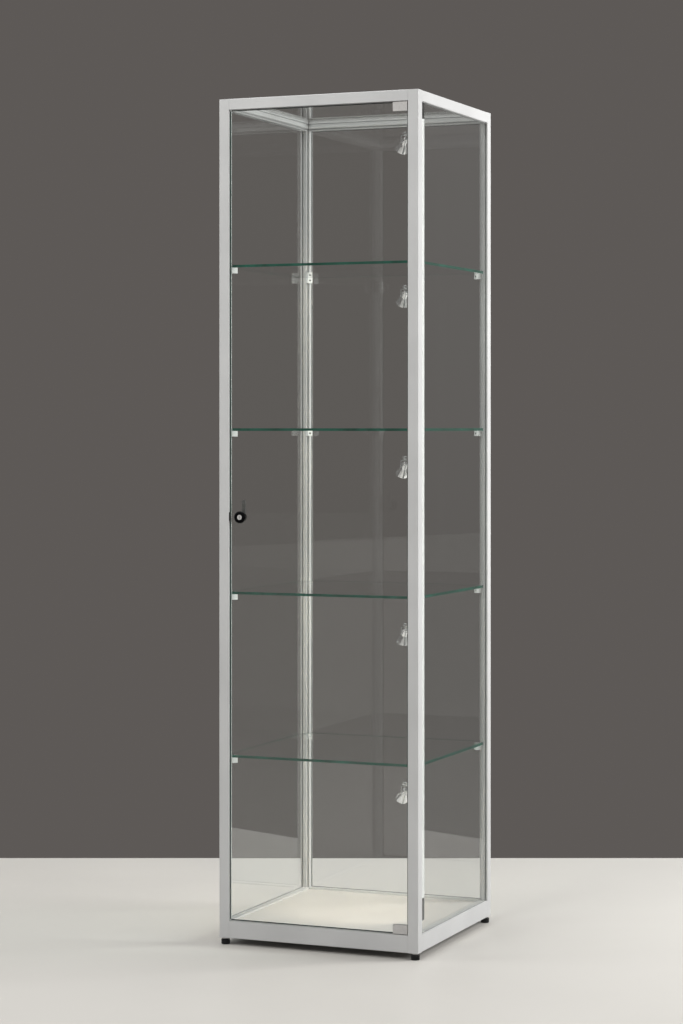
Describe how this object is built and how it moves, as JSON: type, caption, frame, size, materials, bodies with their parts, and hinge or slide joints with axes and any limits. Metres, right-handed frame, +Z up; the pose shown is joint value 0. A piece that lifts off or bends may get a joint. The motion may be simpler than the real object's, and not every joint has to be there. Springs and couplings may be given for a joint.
{
  "type": "display case",
  "caption": "Tall square display case with an aluminium frame, glass walls and shelves, a hinged lockable glass door, corner spotlights and levelling feet.",
  "frame": {"origin": "on the floor, under the middle of the case", "axes": "+Z up, -Y towards the door at the front, +X to the right seen from the front"},
  "size_m": [0.5, 0.5, 1.984],
  "materials": {
    "aluminium": "satin anodised",
    "clear_glass": "clear, polished",
    "white_board": "white laminate",
    "white_plastic": "semi-gloss white",
    "satin_metal": "satin",
    "black_nickel": "black nickel",
    "chrome": "polished",
    "black_plastic": "semi-gloss black"
  },
  "bodies": {
    "frame": {"front_left_post": "aluminium", "front_right_post": "aluminium", "rear_right_post": "aluminium", "rear_left_post": "aluminium", "top_rail_front": "aluminium", "bottom_rail_front": "aluminium", "top_rail_right": "aluminium", "bottom_rail_right": "aluminium", "top_rail_rear": "aluminium", "bottom_rail_rear": "aluminium", "top_rail_left": "aluminium", "bottom_rail_left": "aluminium", "base_board": "white_board", "glass_right": "clear_glass", "glass_rear": "clear_glass", "glass_left": "clear_glass", "glass_top": "clear_glass", "hinge_bush_top": "black_plastic", "hinge_bush_bottom": "black_plastic", "cable_cover": "white_plastic"},
    "door": {"glass_door": "clear_glass", "hinge_clamp_top": "satin_metal", "hinge_clamp_bottom": "satin_metal", "lock_housing": "black_nickel"},
    "lock": {"lock_barrel": "satin_metal", "lock_cam": "black_nickel"},
    "shelf_1": {"shelf_1": "clear_glass", "shelf_1_clip_front_left": "white_plastic", "shelf_1_clip_front_right": "white_plastic", "shelf_1_clip_rear_right": "white_plastic", "shelf_1_clip_rear_left": "white_plastic"},
    "shelf_2": {"shelf_2": "clear_glass", "shelf_2_clip_front_left": "white_plastic", "shelf_2_clip_front_right": "white_plastic", "shelf_2_clip_rear_right": "white_plastic", "shelf_2_clip_rear_left": "white_plastic"},
    "shelf_3": {"shelf_3": "clear_glass", "shelf_3_clip_front_left": "white_plastic", "shelf_3_clip_front_right": "white_plastic", "shelf_3_clip_rear_right": "white_plastic", "shelf_3_clip_rear_left": "white_plastic"},
    "shelf_4": {"shelf_4": "clear_glass", "shelf_4_clip_front_left": "white_plastic", "shelf_4_clip_front_right": "white_plastic", "shelf_4_clip_rear_right": "white_plastic", "shelf_4_clip_rear_left": "white_plastic"},
    "spot_1_bracket": {"spot_1_bracket": "chrome"},
    "spot_1_head": {"spot_1_head": "chrome"},
    "spot_2_bracket": {"spot_2_bracket": "chrome"},
    "spot_2_head": {"spot_2_head": "chrome"},
    "spot_3_bracket": {"spot_3_bracket": "chrome"},
    "spot_3_head": {"spot_3_head": "chrome"},
    "spot_4_bracket": {"spot_4_bracket": "chrome"},
    "spot_4_head": {"spot_4_head": "chrome"},
    "spot_5_bracket": {"spot_5_bracket": "chrome"},
    "spot_5_head": {"spot_5_head": "chrome"},
    "foot_front_left": {"foot_front_left": "black_plastic"},
    "foot_front_right": {"foot_front_right": "black_plastic"},
    "foot_rear_right": {"foot_rear_right": "black_plastic"},
    "foot_rear_left": {"foot_rear_left": "black_plastic"}
  },
  "joints": [
    {"name": "door_hinge", "type": "hinge", "parent": "frame", "child": "door", "pos_m": [0.2145, -0.2435, 1.0075], "axis": [0, 0, 1], "range_deg": [0, 110]},
    {"name": "lock_turn", "type": "hinge", "parent": "door", "child": "lock", "pos_m": [-0.198, -0.237, 1.003], "axis": [0, -1, 0], "range_deg": [0, 90]},
    {"name": "shelf_1_height", "type": "slide", "parent": "frame", "child": "shelf_1", "axis": [0, 0, 1], "range_m": [-0.02, 0.15]},
    {"name": "shelf_2_height", "type": "slide", "parent": "frame", "child": "shelf_2", "axis": [0, 0, 1], "range_m": [-0.02, 0.15]},
    {"name": "shelf_3_height", "type": "slide", "parent": "frame", "child": "shelf_3", "axis": [0, 0, 1], "range_m": [-0.02, 0.15]},
    {"name": "shelf_4_height", "type": "slide", "parent": "frame", "child": "shelf_4", "axis": [0, 0, 1], "range_m": [-0.02, 0.15]},
    {"name": "spot_1_swivel", "type": "hinge", "parent": "frame", "child": "spot_1_bracket", "pos_m": [0.19703, -0.19703, 0.39418], "axis": [-0.7071, 0.7071, 0], "range_deg": [-60, 60]},
    {"name": "spot_1_tilt", "type": "hinge", "parent": "spot_1_bracket", "child": "spot_1_head", "pos_m": [0.19703, -0.19703, 0.37468], "axis": [-0.7071, -0.7071, 0], "range_deg": [-30, 40]},
    {"name": "spot_2_swivel", "type": "hinge", "parent": "frame", "child": "spot_2_bracket", "pos_m": [0.19703, -0.19703, 0.75924], "axis": [-0.7071, 0.7071, 0], "range_deg": [-60, 60]},
    {"name": "spot_2_tilt", "type": "hinge", "parent": "spot_2_bracket", "child": "spot_2_head", "pos_m": [0.19703, -0.19703, 0.73974], "axis": [-0.7071, -0.7071, 0], "range_deg": [-30, 40]},
    {"name": "spot_3_swivel", "type": "hinge", "parent": "frame", "child": "spot_3_bracket", "pos_m": [0.19703, -0.19703, 1.14348], "axis": [-0.7071, 0.7071, 0], "range_deg": [-60, 60]},
    {"name": "spot_3_tilt", "type": "hinge", "parent": "spot_3_bracket", "child": "spot_3_head", "pos_m": [0.19703, -0.19703, 1.12398], "axis": [-0.7071, -0.7071, 0], "range_deg": [-30, 40]},
    {"name": "spot_4_swivel", "type": "hinge", "parent": "frame", "child": "spot_4_bracket", "pos_m": [0.19703, -0.19703, 1.53676], "axis": [-0.7071, 0.7071, 0], "range_deg": [-60, 60]},
    {"name": "spot_4_tilt", "type": "hinge", "parent": "spot_4_bracket", "child": "spot_4_head", "pos_m": [0.19703, -0.19703, 1.51726], "axis": [-0.7071, -0.7071, 0], "range_deg": [-30, 40]},
    {"name": "spot_5_swivel", "type": "hinge", "parent": "frame", "child": "spot_5_bracket", "pos_m": [0.19703, -0.19703, 1.8891], "axis": [-0.7071, 0.7071, 0], "range_deg": [-60, 60]},
    {"name": "spot_5_tilt", "type": "hinge", "parent": "spot_5_bracket", "child": "spot_5_head", "pos_m": [0.19703, -0.19703, 1.8696], "axis": [-0.7071, -0.7071, 0], "range_deg": [-30, 40]},
    {"name": "foot_front_left_height", "type": "slide", "parent": "frame", "child": "foot_front_left", "axis": [0, 0, -1], "range_m": [0, 0.01]},
    {"name": "foot_front_right_height", "type": "slide", "parent": "frame", "child": "foot_front_right", "axis": [0, 0, -1], "range_m": [0, 0.01]},
    {"name": "foot_rear_right_height", "type": "slide", "parent": "frame", "child": "foot_rear_right", "axis": [0, 0, -1], "range_m": [0, 0.01]},
    {"name": "foot_rear_left_height", "type": "slide", "parent": "frame", "child": "foot_rear_left", "axis": [0, 0, -1], "range_m": [0, 0.01]}
  ]
}
